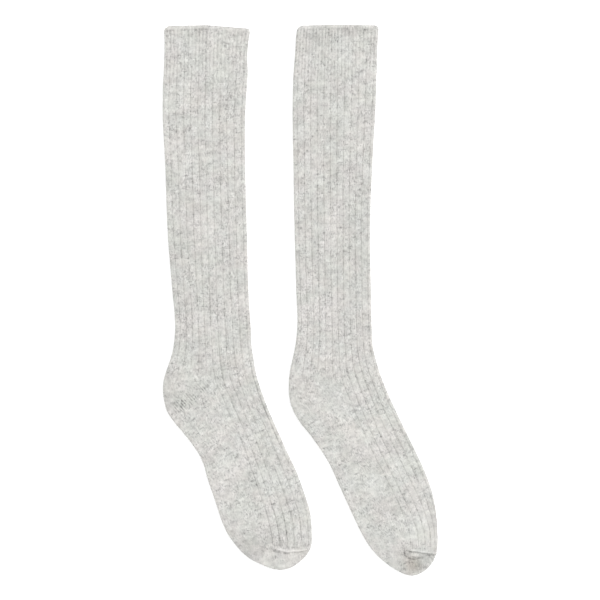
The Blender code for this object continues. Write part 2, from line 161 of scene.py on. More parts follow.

# The materials' noises. Scale counts changes in a metre, or in a stitch for those in STRETCHES,
# which are drawn out by so much across and along the stitches. A swing turns the noise into a
# change either way. A ramp goes from low and high to start and end.
Noise = namedtuple("Noise", "scale detail roughness swing ramp", defaults=(None, None))
NOISES = {
    "uneven": Noise(420.0, 1.0, 0.5, swing=0.35),
    "fibres": Noise(2200.0, 1.0, 0.6, swing=0.26),
    "yarn": Noise(1.0, 1.0, 0.5, swing=0.43),
    "specks": Noise(420.0, 1.0, 0.5, ramp=(0.57, 0.75, 0.0, -0.15)),
    "dashes": Noise(1.0, 0.0, 0.5, ramp=(0.6, 0.76, 0.0, -0.17)),
    "wisps": Noise(190.0, 1.0, 0.5),
    "wisp gate": Noise(75.0, 1.0, 0.5, ramp=(0.5, 0.62, 0.0, 1.0)),
    "busy": Noise(110.0, 2.0, 0.6, ramp=(0.36, 0.64, 0.55, 1.45)),
    "melange": Noise(180.0, 2.0, 0.6),
    "patches": Noise(45.0, 2.0, 0.5, swing=0.15),
    "broken": Noise(1.0, 1.0, 0.5, ramp=(0.3, 0.7, 0.7, 1.3)),
    "blots": Noise(260.0, 1.0, 0.5, ramp=(0.38, 0.6, 0.1, 1.6)),
    "warmth": Noise(40.0, 3.0, 0.65, ramp=(0.34, 0.66, 0.0, 1.0)),
    "blue": Noise(55.0, 2.0, 0.6, swing=0.03),
    "nap": Noise(1500.0, 2.0, 0.6),
    "fuzz": Noise(600.0, 1.0, 0.5, ramp=(0.35, 0.55, 0.0, 1.0)),
}
STRETCHES = {"yarn": (1.45, 0.44), "dashes": (0.3, 1.0), "broken": (0.25, 0.5)}

FLOOR_SIZE = 6.0
FLOOR_DROP = 0.0001  # how far the floor lies below the socks
FLOOR_GLOW = 0.35
WORLD_STRENGTH = 0.68
LIGHTS = (
    ("key", (2.6, 2.0, 4.0), 2.5, 120.0),
    ("fill", (-3.2, -1.2, 4.4), 3.6, 43.0),
)

# Sections from the welt to the toe: name, gap between the layers, then x and y of the back edge,
# of the middle and of the front edge, of the left sock and of the right one.
SECTIONS = (
    ("welt_top", 1.2, -137.9, 285, -97.2, 285.8, -53.3, 282.2, 0.4, 285.4, 39, 286.4, 80.2, 285.6),
    ("welt_crown", 1.1, -140.3, 283.2, -97.2, 284.6, -52.7, 280.4, -1.8, 283.9, 39.2, 285.6, 81.1, 284.2),
    ("welt_foot", 0.9, -141.4, 279.4, -97.2, 280.9, -52.9, 276.8, -3.2, 280.2, 39.4, 281.9, 81.3, 280.4),
    ("cuff_top", 0.8, -141.3, 276.6, -97.3, 278.2, -53.4, 274.2, -3.7, 277.5, 39.4, 279.3, 81.1, 277.8),
    ("cuff_mid", 0.8, -141.3, 257.9, -97.7, 258, -55.1, 256.5, -5, 257.9, 39.3, 258.2, 80, 257.9),
    ("cuff_end", 0.8, -142.1, 234, -98.1, 234, -54.9, 233.5, -6.9, 234, 39, 234, 79.4, 234),
    ("leg_top", 0.8, -142.3, 231, -98.2, 231, -55.1, 230.6, -7, 231, 39, 231, 79.3, 231),
    ("calf", 0.8, -143, 203.8, -99, 203.8, -56.9, 203.8, -7.6, 203.8, 38.6, 203.8, 78.4, 203.8),
    ("calf_low", 0.7, -140.1, 135.2, -97.7, 135.2, -57.3, 135.2, -6.8, 140.4, 38.2, 140.4, 74.9, 140.4),
    ("shin", 0.7, -137.3, 62.4, -96, 62.4, -55.4, 62.4, -5.5, 67.6, 38.4, 67.6, 72.5, 67.6),
    ("shin_low", 0.8, -133, 10.4, -94.3, 10.4, -54.1, 10.4, -3.8, 10.4, 39, 10.4, 73.5, 10.4),
    ("ankle", 1.1, -130.1, -31.2, -92.5, -32.2, -51.6, -30.2, -2.9, -29.1, 39.8, -30.2, 74.2, -27),
    ("low_leg", 1.6, -132, -49.9, -91.1, -56.2, -50.6, -48.9, -5.7, -52, 40.7, -54.1, 75.5, -48.9),
    ("rib_end", 2.1, -136, -64.4, -89.7, -72.6, -48.5, -62.6, -8.9, -65.6, 41.7, -71.4, 78.3, -61),
    ("heel_top", 2.3, -137.9, -69.6, -89.2, -75.6, -48, -66, -10.1, -71, 42.3, -75, 79.2, -64.4),
    ("heel_back", 2.7, -141.8, -83.2, -88.5, -79.7, -47.4, -69.7, -11.4, -84.2, 43.6, -80.7, 80.6, -69.2),
    ("heel_round", 2.9, -142.1, -99.8, -87.7, -83.2, -46.8, -73.3, -11, -100.9, 45, -85.9, 81.8, -73.3),
    ("mitre", 3, -137.8, -116.1, -86.8, -86.3, -46, -77, -6.8, -115.4, 46.7, -90.5, 83.5, -78),
    ("heel_under", 2.8, -130.7, -126.7, -85, -90.7, -44.3, -82.7, -0.3, -126.3, 49.2, -96.9, 85.9, -84.2),
    ("heel_end", 2.3, -122.7, -136.2, -81, -99.4, -41.7, -91, 7, -135.4, 53.4, -106.7, 89.5, -93.2),
    ("arch", 1.6, -114.3, -146.8, -73.1, -119, -35.9, -107.1, 17.2, -149.1, 62.9, -129, 98.1, -112.3),
    ("arch_low", 1.2, -102.4, -165.4, -60.8, -145.6, -25.3, -132.1, 31.3, -171.4, 73.3, -152.9, 110, -137.1),
    ("foot", 1, -95.4, -188.2, -51.7, -171.6, -13.8, -157.6, 41.7, -194.5, 83.9, -173.7, 119.7, -156.8),
    ("foot_low", 1, -87.7, -210.6, -43.6, -195.5, -3.4, -179.9, 49.6, -211.7, 93.3, -192, 128, -174.7),
    ("ball", 1.1, -82.1, -227.8, -37.3, -214.2, 4.5, -201.8, 57.5, -228.8, 102, -210.1, 135.9, -195.5),
    ("ball_low", 1.3, -75, -243.4, -32.1, -231.4, 10.1, -221, 64.8, -243.6, 109.5, -228.8, 140.9, -218.4),
    ("toe", 1.5, -66.9, -254.6, -29.4, -244.9, 11.8, -239.2, 71.7, -254.8, 114.1, -244.8, 142.6, -239.2),
    ("seam", 1.6, -58.6, -263.7, -28, -257.3, 10.5, -257.9, 80, -264.8, 114.9, -259.4, 141.3, -263.5),
    ("toe_cap", 1.5, -49.6, -270.2, -26.5, -265.6, 5.9, -265.8, 88.7, -272.7, 114.9, -267.7, 138.5, -271),
    ("toe_low", 1.2, -40.2, -274.8, -24.9, -272.3, -1.4, -272.7, 98.1, -279.3, 115.1, -275.4, 132.8, -278.5),
    ("toe_round", 0.9, -32.1, -278.1, -22.8, -277.1, -9.3, -277.7, 106.2, -283.7, 115.5, -281.8, 124.9, -283.9),
    ("nose", 0.6, -26.1, -279.7, -20.7, -279.6, -14.5, -279.6, 111.2, -285.6, 116, -285.2, 121.4, -285.6),
)
ROW_NAMES = [section[0] for section in SECTIONS]

# Gaps at the sections, and how far the upper layer is lifted at the first ones.
LEFT_GAPS = {section[0]: section[1] for section in SECTIONS}
RIGHT_GAPS = {**LEFT_GAPS, "toe_cap": 0.8, "toe_low": 0.9}
LIFTS = {"welt_top": -0.35, "welt_crown": 0.45, "welt_foot": 0.30}

# Soft troughs along a straight or bowed line: its start and end, bow, depth and half width.
# A ridge is a trough of depth below zero. Troughs are painted darker as shade, ridges lighter as a highlight.
LEFT_CREASES = (
    (-94, -146.5, -102.5, -154, 0.5, 0.40, 1.2),
    (-92, -146, -83.5, -146.5, 0.3, 0.25, 1),
    (-78, -161.5, -66, -155, 0.5, 0.25, 0.9),
    (-140, -72, -122, -80, 1.5, 0.25, 2.5),
    (-60, -62, -82, -70, -1, 0.20, 2.2),
    (-28, -260.4, -19, -262.6, 0.2, 0.95, 0.8),
    (-17.5, -262.3, -10, -264, 0.2, 1.05, 0.8),
    (-26.5, -254.6, -18, -255.2, 0, 0.60, 0.9),
    (-7, -257.6, -0.5, -257.6, 0.2, 0.60, 0.8),
    (-32.5, -258.6, -40, -272.5, 0.7, -1.30, 0.9),
    (-37, -259, -44, -270, 0.7, 0.35, 1.8),
    (-31, -256.7, -24, -258.3, 0, -1.10, 0.8),
    (-30, -259.4, -25.5, -260.2, 0, 0.60, 0.7),
)

LEFT_UNDER_CREASES = (
    (-118, -70, -136, -78, 1.2, 0.30, 2.2),
    (-98, -150, -86, -147, 0.6, 0.35, 1.3),
    (-20, -262, 2, -259, -0.6, 0.50, 1),
    (-46, -256, -40, -269, 0.8, 0.30, 1.8),
)

RIGHT_CREASES = (
    (110.6, -259.3, 117, -262, 0.4, 1.10, 0.9),
    (116.4, -261.9, 141.5, -264.2, 0.2, 0.70, 0.8),
    (108.3, -258.6, 108.3, -265.2, -0.4, 0.85, 0.9),
    (108.3, -264.4, 118.3, -269.4, 1, 0.85, 1.1),
    (117.6, -269.4, 126, -267, 0.5, 0.70, 1.1),
    (113.6, -264.3, 123, -266, 0.4, -1.00, 1.5),
    (118.5, -270.5, 122.5, -279, 1, 0.25, 1.7),
    (133, -257, 139, -258.5, 0, 0.25, 1.2),
)

RIGHT_UNDER_CREASES = (
    (8, -74, -8, -82, 1.2, 0.30, 2.2),
    (24, -150, 38, -147, 0.8, 0.35, 1.4),
    (104, -262, 128, -266, -0.8, 0.50, 1),
    (122, -268, 116, -278, 0.8, 0.40, 1.6),
)

# Soft places on top painted darker as shade: middle, half width, half height and shade, which
# is below zero where the knit is painted lighter as light. Most stand for shade and light on the
# welt's groove, the heel, the toes and the foot's edges; a few are the yarn's own tone.
LEFT_SHADE_AND_TONE_PATCHES = (
    (-105, 281.5, 5.5, 1.7, 1.4),
    (-133, 281.8, 4.5, 1.8, 0.7),
    (-122, -108, 14, 9, 0.35),
    (-60, -158, 26, 34, -0.20),
    (-22, -142, 14, 40, -0.35),
    (-38, -246, 18, 13, 0.50),
    (-56, -253, 6, 9, 0.75),
    (-48, -264, 6, 5, 0.60),
    (-12.5, -230.5, 4.5, 5, 0.60),
    (-11.5, -255, 4, 4, 0.45),
    (-132, -102, 14, 9, 0.40),
    (-19, -266, 9, 4.5, 0.30),
    (-41, -258, 7, 7, 0.45),
    (-16, -276, 16, 5, -0.90),
    (-34, -272, 8, 5.5, -0.70),
    (-34, -261.5, 1.7, 2.6, -0.80),
    (-36.8, -266.5, 1.7, 2.6, -0.80),
    (-8, -265, 9, 6, -0.50),
    (-4, -186, 16, 14, -0.25),
)

RIGHT_SHADE_AND_TONE_PATCHES = (
    (54, 281, 16, 3.5, 0.45),
    (60, 276, 22, 12, 0.45),
    (18, 273, 24, 9, 0.40),
    (6.5, -83.5, 9, 8, 0.90),
    (58, -25, 9, 19, 0.45),
    (57, -199, 9, 9, -0.55),
    (16, -2, 10, 14, -0.30),
    (29.5, -137, 7, 6, 0.35),
    (80, -164, 34, 26, -0.40),
    (70, -100, 20, 12, -0.30),
    (128, -232, 16, 26, -0.60),
    (119, -272.2, 8, 6.6, 1.60),
    (110, -272.5, 5.5, 5, 0.95),
    (118, -279.5, 9, 4.5, 1.25),
    (129.5, -251, 5, 7, 0.60),
    (130.5, -268, 5, 7, 0.60),
    (140, -248, 5, 12, -0.60),
    (97, -273, 7, 7, -0.60),
    (122, -246.5, 18, 7, -0.50),
    (134, -274, 6, 8, -0.30),
)

# Stretches where a furrow of the upper side is deeper and its painted shade darker: number of the
# furrow, counted forwards from the middle one, top, bottom and depth.
LEFT_ACCENTS = (
    (0, -58, -90, 0.2),
    (1, -40, -90, 0.2),
    (5, -66, -150, 0.8),
    (0, -135, -190, 0.3),
    (0, -200, -252, 0.4),
    (1, -200, -252, 0.4),
    (2, -216, -246, 0.55),
    (3, -206, -252, 0.35),
    (4, -212, -248, 0.25),
)

RIGHT_ACCENTS = (
    (0, -80, -130, 0.2),
    (1, -190, -222, 0.2),
    (2, -180, -222, 0.2),
)

# A quarter of the tube: its half, back or front, its side, 1 above and -1 below, the ribs between
# its middle furrow and the folded edge, and the tracks of that edge and of the furrow.
Quarter = namedtuple("Quarter", "half side ribs edge mid")

# A sock: its pieces, its CAD node and its outline, the toe's tip, the ribs on top behind and before
# the middle furrow, how far ribs crowd at the toe, the toe seam's sag and painted highlight, how
# strong the fashioning marks are, and its own creases, patches of painted shade and tone, and accents.
Sock = namedtuple(
    "Sock",
    "name fuzz node outline gaps tip_x tip_y back_ribs front_ribs toe_crowd seam_sag seam_light "
    "marks creases under_creases patches accents seed",
)

SOCKS = (
    Sock(
        "knit_left", "fuzz_left", "sock_left", [section[2:8] for section in SECTIONS], LEFT_GAPS,
        tip_x=-20.3, tip_y=-280.5, back_ribs=6.0, front_ribs=5.65, toe_crowd=0.0, seam_sag=3.4,
        seam_light=2.4, marks=1.0, creases=LEFT_CREASES, under_creases=LEFT_UNDER_CREASES,
        patches=LEFT_SHADE_AND_TONE_PATCHES, accents=LEFT_ACCENTS, seed=11,
    ),
    Sock(
        "knit_right", "fuzz_right", "sock_right", [section[8:] for section in SECTIONS], RIGHT_GAPS,
        tip_x=116.4, tip_y=-286.5, back_ribs=6.8, front_ribs=5.65, toe_crowd=0.19, seam_sag=0.0,
        seam_light=1.6, marks=0.35, creases=RIGHT_CREASES, under_creases=RIGHT_UNDER_CREASES,
        patches=RIGHT_SHADE_AND_TONE_PATCHES, accents=RIGHT_ACCENTS, seed=47,
    ),
)


def mix(first, second, share):
    return first + (second - first) * share


def smooth_step(low, high, value):
    share = np.clip((value - low) / (high - low), 0.0, 1.0)
    return share * share * (3.0 - 2.0 * share)


def between(rise, fall, value):
    """Rises from 0 to 1 over the first span, and falls back over the second."""
    return smooth_step(*rise, value) * (1.0 - smooth_step(*fall, value))


def bell(distance, width):
    return np.exp(-(distance / width) ** 2)


def noise(x, y, seed):
    """Smooth noise from -1 to 1 that changes over a distance of 1."""
    table = np.random.default_rng(seed).uniform(-1.0, 1.0, (128, 128))
    x, y = np.broadcast_arrays(x, y)
    left = np.floor(x).astype(int)
    low = np.floor(y).astype(int)
    across = smooth_step(0.0, 1.0, x - left)
    up = smooth_step(0.0, 1.0, y - low)
    near, far = (mix(table[row % 128, left % 128], table[row % 128, (left + 1) % 128], across)
                 for row in (low, low + 1))
    return mix(near, far, up)


def waver(kind, start, across, travel, seed):
    """start, made uneven as WAVERS says. across counts ribs, and travel is in millimetres."""
    for strength, changes, length, number in WAVERS[kind]:
        start = start + strength * noise(across * changes, travel / length, seed + number)
    return start


def lengths_of(vectors):
    return np.linalg.norm(vectors, axis=-1, keepdims=True)


def unit(vectors):
    return vectors / lengths_of(vectors)


def headings(track):
    """Direction of travel at each point of a track, weighted towards its shorter span."""
    spans = np.diff(track, axis=0)
    lengths = lengths_of(spans)
    units = spans / lengths
    middle = units[:-1] * lengths[1:] + units[1:] * lengths[:-1]
    middle /= lengths[:-1] + lengths[1:]
    return np.vstack([units[:1], middle, units[-1:]])


def along(track, positions):
    """Points on the smooth curve through a track, at positions counted in rows."""
    index = np.minimum(positions.astype(int), len(track) - 2)
    share = (positions - index)[:, None]
    start = track[index]
    end = track[index + 1]
    span = lengths_of(end - start)
    turns = headings(track)
    square = share * share
    cube = square * share
    return (
        start * (2 * cube - 3 * square + 1)
        + turns[index] * span * (cube - 2 * square + share)
        + end * (3 * square - 2 * cube)
        + turns[index + 1] * span * (cube - square)
    )


def travel_along(track):
    """Distance along a track from its start, as one column."""
    steps = np.linalg.norm(np.diff(track, axis=0), axis=1)
    return np.concatenate([[0.0], np.cumsum(steps)])[:, None]


class Form:
    """One sock's flattened tube. Its values are columns, one number for each row of points."""

    def __init__(self, sock):
        self.sock = sock
        edges = np.array(sock.outline).reshape(-1, 3, 2).swapaxes(0, 1)
        self.places = self.row_places(edges[0], edges[2])
        self.back, self.mid, self.front = (along(edge, self.places[:, 0]) for edge in edges)
        outward = self.front - self.mid
        self.front = self.front + FRONT_PROUD * outward / lengths_of(outward)
        self.gap = self.read(sock.gaps)
        self.lift = self.read(LIFTS)
        self.height = 2 * WALL + self.gap
        self.travel = travel_along((self.back + self.mid + self.front) / 3)
        self.fine = 1.0 - self.rise_between("cuff_end", "leg_top")
        self.leg = 1.0 - self.rise_between("heel_top", "heel_back")
        self.instep = 1.0 - smooth_step(-0.35, -0.1, self.places - ROW_NAMES.index("seam"))
        self.cuff = self.rise_between("welt_crown", "welt_foot")
        self.foot = self.rise_between("shin_low", "heel_back")
        self.crowd = sock.toe_crowd * self.rise_between("foot_low", "seam")
        last_rows = np.clip(self.places - ROW_NAMES.index("toe_round"), 0.0, 1.0)
        self.fullness = np.sqrt(1.0 - (TOE_CLOSING * last_rows) ** 2)

    def row_places(self, back, front):
        """Where the rows of points lie, counted in sections."""
        places = []
        for index, name in enumerate(ROW_NAMES[:-1]):
            length = max(np.linalg.norm(edge[index + 1] - edge[index]) for edge in (back, front))
            spacing = CLOSE_SPACING if name in CLOSE_ROWS else ROW_SPACING
            count = max(2, round(length / spacing))
            places += [index + step / count for step in range(count)]
        return np.array(places + [len(ROW_NAMES) - 1])[:, None]

    def read(self, table):
        """A column of values, read between those of the sections, 0 where the table has none."""
        values = [table.get(name, 0.0) for name in ROW_NAMES]
        return np.interp(self.places, np.arange(len(values)), values)

    def rise_between(self, first, last):
        return smooth_step(ROW_NAMES.index(first), ROW_NAMES.index(last), self.places)

    def at(self, name):
        """Index of the row of points on a section."""
        return int(np.argmin(np.abs(self.places[:, 0] - ROW_NAMES.index(name))))

    def since(self, name, travel):
        """Distance travelled from a section."""
        return travel - travel[self.at(name)]

    def quarters(self):
        """The tube's four parts: each half of the upper layer and of the lower."""
        sock = self.sock
        back_under = TUBE_RIBS / 2 - sock.back_ribs
        front_under = TUBE_RIBS / 2 - sock.front_ribs
        to_mid = lengths_of(self.mid - self.back)
        to_front = lengths_of(self.front - self.mid)
        wanted = (to_mid + to_front) * back_under / (TUBE_RIBS - sock.back_ribs - sock.front_ribs)
        under = np.where(wanted <= to_mid, mix(self.back, self.mid, wanted / to_mid),
                         mix(self.mid, self.front, (wanted - to_mid) / to_front))
        return (
            Quarter("back", 1, sock.back_ribs, self.back, self.mid),
            Quarter("front", 1, sock.front_ribs, self.front, self.mid),
            Quarter("front", -1, front_under, self.front, under),
            Quarter("back", -1, back_under, self.back, under),
        )

    def offsets(self, quarter):
        """Distance of the columns from the middle furrow, in ribs, out to the folded edge.

        They crowd towards the furrows where the cloth is wide rib, and are even elsewhere.
        """
        ribbed = self.leg if quarter.half == "back" else self.instep
        wide, even = (column_offsets(quarter.ribs, places) for places in COLUMNS[quarter.side])
        return mix(even, wide, ribbed * (1.0 - self.fine))

    def outward(self, quarter, offsets):
        """How far out the columns lie: 0 at mid, 1 at the folded edge.

        Towards the toe the upper layer's ribs run on over the front edge, so they crowd there.
        """
        share = offsets / quarter.ribs
        if quarter.half == "front" and quarter.side == 1:
            share = share + 4 * self.crowd * share * (1.0 - share)
        return share

    def fold_angle(self, quarter, share):
        """How far round the folded edge: 0 at its middle, a quarter turn where the layer is flat."""
        span = lengths_of(quarter.mid - quarter.edge)
        radius = np.minimum(self.height / 2, span * WIDEST_FOLD)
        return np.minimum((span / radius - 1 + math.pi / 2) * share, math.pi / 2)

    def lay(self, quarter, share, relief, height, inset):
        """Points of a quarter. share is 1 at mid and 0 at the folded edge, moved in by inset."""
        inward = quarter.mid - quarter.edge
        span = lengths_of(inward)
        inward = inward / span
        span = span - inset
        radius = np.minimum(height / 2, span * WIDEST_FOLD)
        travelled = (span - radius + radius * math.pi / 2) * share
        angle = np.minimum(travelled / radius, math.pi / 2)
        reach = inset + radius * (1 - np.cos(angle)) - relief * np.cos(angle)
        reach = reach + np.maximum(0.0, travelled - radius * math.pi / 2)
        level = (height / 2 * self.fullness + relief) * np.sin(angle)
        plan = quarter.edge[:, None, :] + inward[:, None, :] * reach[:, :, None]
        return np.dstack([plan, self.height / 2 + quarter.side * level])


def column_offsets(ribs, places):
    """Columns' distances from the middle furrow, even in a part rib beside the folded edge."""
    count = len(places)
    offsets = []
    for index in range(1, math.ceil(ribs * count - 1e-6)):
        rib, step = divmod(index, count)
        offsets.append(rib + (places[step] if rib + 1 <= ribs else step / count))
    return np.array(offsets + [ribs])


def crease_relief(creases, x, y):
    """Depth of the creases at places in plan, below zero in a trough."""
    relief = np.zeros_like(x)
    for start_x, start_y, end_x, end_y, bow, depth, width in creases:
        run_x = end_x - start_x
        run_y = end_y - start_y
        length = math.hypot(run_x, run_y)
        share = ((x - start_x) * run_x + (y - start_y) * run_y) / length ** 2
        across = ((x - start_x) * run_y - (y - start_y) * run_x) / length
        across = across - 4 * bow * share * (1 - share)
        relief -= depth * between((-0.15, 0.2), (0.8, 1.15), share) * bell(across, width)
    return relief


def patch_shade(patches, x, y):
    """Painted shade of the soft darker patches at places in plan, below zero in one painted lighter; a few
    stand for the yarn's own tone.
    """
    shade = np.zeros_like(x)
    for middle_x, middle_y, width, height, strength in patches:
        reach = ((x - middle_x) / width) ** 2 + ((y - middle_y) / height) ** 2
        shade += strength * np.exp(-reach)
    return shade


def ribbed_share(form, quarter, offsets, seed):
    """1 where the cloth is ribbed, 0 where it is plain, with each rib ending a little unevenly."""
    place = waver("rib end", form.places, np.round(offsets), 0.5, seed)
    if quarter.half == "back":
        distance = place - ROW_NAMES.index("heel_top") + 0.1
    else:
        distance = 4 * (place - ROW_NAMES.index("seam") + 0.35)
    return (1.0 - smooth_step(0.0, 1.0, distance)) * form.cuff


def crest_height(form, ribbed):
    return mix(PLAIN_RISE, mix(RIB_RISE, FINE_RISE, form.fine), ribbed)


def furrow_depth(form, side, furrow):
    """How deep a furrow is over the average, which also sets its painted shade. Furrows count forwards from the
    middle one.
    """
    depth = waver("furrow", 0.82, furrow, form.travel, form.sock.seed + 10 * side)
    if side == 1:
        row_y = (form.mid[:, 1:] + form.front[:, 1:]) / 2
        for number, top, bottom, more in form.sock.accents:
            spans = ((end - ACCENT_END, end + ACCENT_END) for end in (bottom, top))
            depth = depth + more * between(*spans, row_y) * (furrow == number)
    return np.clip(depth, 0.15, 2.4) * mix(LEG_FURROWS, FOOT_FURROWS, form.foot)


def fine_depth(form, side, furrow):
    """The same in the cuff's 1x1 rib, whose furrows lie half a rib apart."""
    depth = waver("fine furrow", 1.1, furrow, form.travel, form.sock.seed + 10 * side)
    return np.clip(depth, 0.1, 1.9)


def rib_height(form, quarter, sign, offsets):
    """Height of the ribs over the floor of a plain furrow, and the shade painted into their furrows."""
    depth = furrow_depth(form, quarter.side, sign * np.round(offsets))
    depth = depth * smooth_step(0.0, 0.5, quarter.ribs - offsets)
    place = offsets - np.floor(offsets)
    nearest = np.minimum(place, 1.0 - place)
    crown = RIB_RISE * (RIB_SIDE + (1.0 - RIB_SIDE) * np.sin(np.pi * place))
    wide = crown - FURROW_DEPTH * depth * bell(nearest, FURROW_WIDTH)
    dark = FURROW_SHADE * depth * bell(nearest, SHADE_WIDTH)
    valley = bell(np.minimum(nearest, 0.5 - nearest), FINE_WIDTH)
    narrow = FINE_RISE * (1.0 - valley)
    fine_dark = valley * fine_depth(form, quarter.side, sign * np.round(2 * offsets) / 2) - 0.3
    return mix(wide, narrow, form.fine), mix(dark, fine_dark, form.fine)


def seam_height(form, quarter, offsets, seed):
    """The linked toe seam, a ridge across the instep with a dip below it, and its shade: painted shade in the
    dip, and a painted highlight, below zero, along the ridge.
    """
    share = form.outward(quarter, offsets)
    travel = mix(travel_along(form.mid), travel_along(form.front), share)
    distance = waver("seam", form.since("seam", travel), offsets, 0.0, seed)
    distance = distance - 4 * form.sock.seam_sag * share * (1.0 - share)
    ridge = SEAM_RISE * bell(distance, SEAM_WIDTH)
    light = SEAM_RISE * bell(distance + 0.3, SEAM_LIGHT_WIDTH)
    light = light * (1.0 - 0.8 * smooth_step(0.65, 0.95, share))
    dip = SEAM_DIP * bell(distance - 2 * SEAM_WIDTH, 0.8 * SEAM_WIDTH)
    dip = dip * waver("seam dip", 1.0, offsets, 3.0, seed)
    ends = smooth_step(0.0, SEAM_END, offsets)
    fold = smooth_step(-0.2, 0.7, quarter.ribs - offsets)
    shade = 1.6 * dip - form.sock.seam_light * RIDGE_LIGHT * light
    return (ridge - dip) * ends * fold, shade * ends


def fashioning_marks(form, quarter, offsets, seed):
    """Strength of the drawn stitches below the heel's mitre."""
    if quarter.half == "front":
        return 0.0 * offsets
    travel = mix(travel_along(form.mid), travel_along(form.back), offsets / quarter.ribs)
    band = bell(form.since("mitre", travel) - MARK_CENTRE, MARK_WIDTH)
    ends = between((0.3, 1.3), (4.2, 5.6), offsets)
    strength = np.clip(waver("marks", 0.8, offsets, form.travel, seed), 0.0, 1.6)
    return form.sock.marks * band * ends * strength


def welt_highlight_and_shade(form, across):
    """The bead that rounds the welt is painted lighter as a highlight, with notches of painted shade in the
    groove below it.
    """
    bead = form.since("welt_crown", form.travel)
    groove = form.since("welt_foot", form.travel) + 1.0
    notches = np.clip(waver("welt notches", 0.7, across, 0.5, form.sock.seed), 0.1, 1.8)
    return notches * bell(groove, 0.9) - 0.5 * bell(bead, 1.2)


def swell(form, across):
    """Slow rise and fall of the upper layer."""
    return waver("swell", form.lift, across, form.travel, form.sock.seed)


def outer_points(form, quarter, offsets):
    """Points of one quarter of the outer skin, in rows and columns.

    Each has its place, its painted shade, below zero where a highlight is painted, and how strong the
    fashioning marks are there.
    """
    upper = quarter.side == 1
    sign = 1 if quarter.half == "front" else -1
    across = sign * offsets
    seed = form.sock.seed + (0 if upper else 80)
    ribbed = ribbed_share(form, quarter, offsets, seed + sign)
    ribs, shade = rib_height(form, quarter, sign, offsets)
    relief = waver("surface", mix(PLAIN_RISE, ribs, ribbed), across, form.travel, seed)
    shade = shade * ribbed + welt_highlight_and_shade(form, across)
    crest = crest_height(form, ribbed)
    if quarter.half == "front":
        seam, seam_shade = seam_height(form, quarter, offsets, seed)
        relief = relief + seam
        shade = shade + seam_shade
    share = 1.0 - form.outward(quarter, offsets)
    angle = form.fold_angle(quarter, share)
    if upper:
        relief = relief - crest * np.cos(angle) ** 2 + swell(form, across) * np.sin(angle)
    else:
        relief = np.minimum(relief - crest, 0.0)
    calm = smooth_step(0.0, 0.5, quarter.ribs - offsets) * smooth_step(0.0, 0.5, offsets)
    wander = waver("rib", 0.0, across, form.travel, seed)
    points = form.lay(quarter, share + wander * calm / quarter.ribs, relief, form.height, 0.0)
    marks = fashioning_marks(form, quarter, offsets, seed)
    return np.dstack([points, shade, marks])


def middle_points(form, quarter, height, relief, shade):
    """The column of points between the two halves of a layer."""
    level = form.height / 2 + quarter.side * (height / 2 * form.fullness + relief)
    return np.hstack([quarter.mid, level, shade, 0.0 * level])[:, None, :]


def middle_furrow(form, quarter):
    """The furrow between the halves, which runs on as the ribbed instep's edge."""
    ribbed = form.cuff * form.instep
    depth = furrow_depth(form, quarter.side, 0)
    wide = RIB_SIDE * RIB_RISE - FURROW_DEPTH * depth
    relief = mix(PLAIN_RISE, mix(wide, 0.0, form.fine), ribbed)
    shade = mix(depth, fine_depth(form, quarter.side, 0), form.fine) * ribbed + welt_highlight_and_shade(form, 0.0)
    if quarter.side == 1:
        relief = relief + swell(form, 0.0)
    else:
        relief = relief - crest_height(form, ribbed)
    return middle_points(form, quarter, form.height, relief, shade)


def press(form, points):
    """Sinks the creases into both layers where the cloth is flat, and paints the creases' shade, the ridges'
    highlights and the patches' shade and light into the shade map.
    """
    x, y, z, shade = (points[:, :, column] for column in range(4))
    level = 2 * z / form.height - 1
    above = np.clip(level, 0.0, 1.0)
    top = crease_relief(form.sock.creases, x, y) * above
    bottom = crease_relief(form.sock.under_creases, x, y) * np.clip(-level, 0.0, 1.0)
    z += top - bottom
    for sunk in (top, bottom):
        shade -= np.where(sunk < 0, CREASE_SHADE, RIDGE_LIGHT) * sunk
    shade += patch_shade(form.sock.patches, x, y) * above
    return points


def ring_of(form, make_points, make_middle):
    """Points of a whole skin: each row runs from the back edge over the top and back beneath."""
    parts = []
    for number, quarter in enumerate(form.quarters()):
        points = make_points(form, quarter, form.offsets(quarter))
        if quarter.side == -1:
            points = points[:, :-1]
        if number % 2 == 0:
            points = np.hstack([points[:, ::-1], make_middle(form, quarter)])
        parts.append(points)
    return np.hstack(parts)


def inner_points(form, quarter, offsets):
    """Points of one quarter of the inner skin, a plain slit with the outer skin's columns."""
    still = 0.0 * offsets
    points = form.lay(quarter, 1.0 - offsets / quarter.ribs, still, form.gap, EDGE_WALL)
    return np.dstack([points, still, still])


def inner_middle(form, quarter):
    still = 0.0 * form.gap
    return middle_points(form, quarter, form.gap, still, still)


